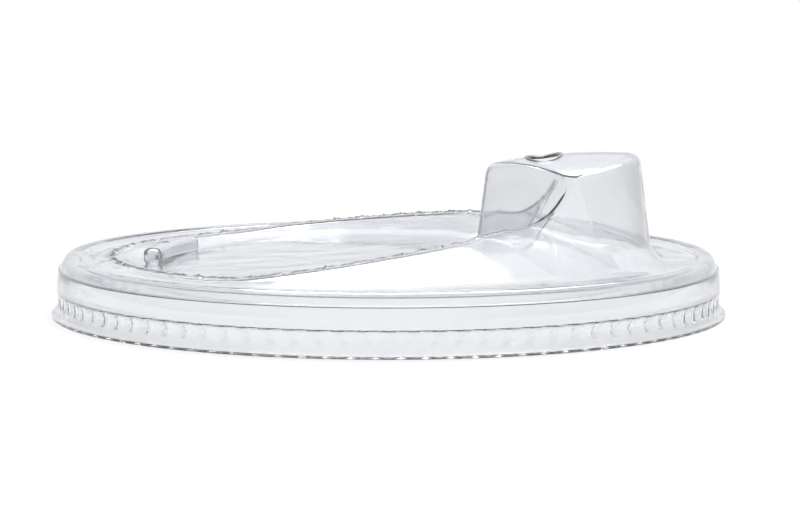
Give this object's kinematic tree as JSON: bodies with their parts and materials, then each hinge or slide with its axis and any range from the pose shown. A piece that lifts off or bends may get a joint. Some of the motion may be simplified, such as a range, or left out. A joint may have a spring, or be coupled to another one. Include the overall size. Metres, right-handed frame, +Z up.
{
  "type": "spout cup lid",
  "caption": "Clear thermoformed spout lid for a cold drink cup: fluted grip skirt, sunken pan with a ramped ridge, and a raised drinking spout with an oval sip hole.",
  "frame": {"origin": "middle of the flange's foot, on the surface that the lid stands on", "axes": "+Z up along the lid's axis, +X towards the spout"},
  "size_m": [0.1024, 0.1024, 0.0244],
  "materials": {
    "clear_pet": "clear, glossy, as thermoformed"
  },
  "bodies": {
    "root": {"lid": "clear_pet"}
  },
  "joints": []
}
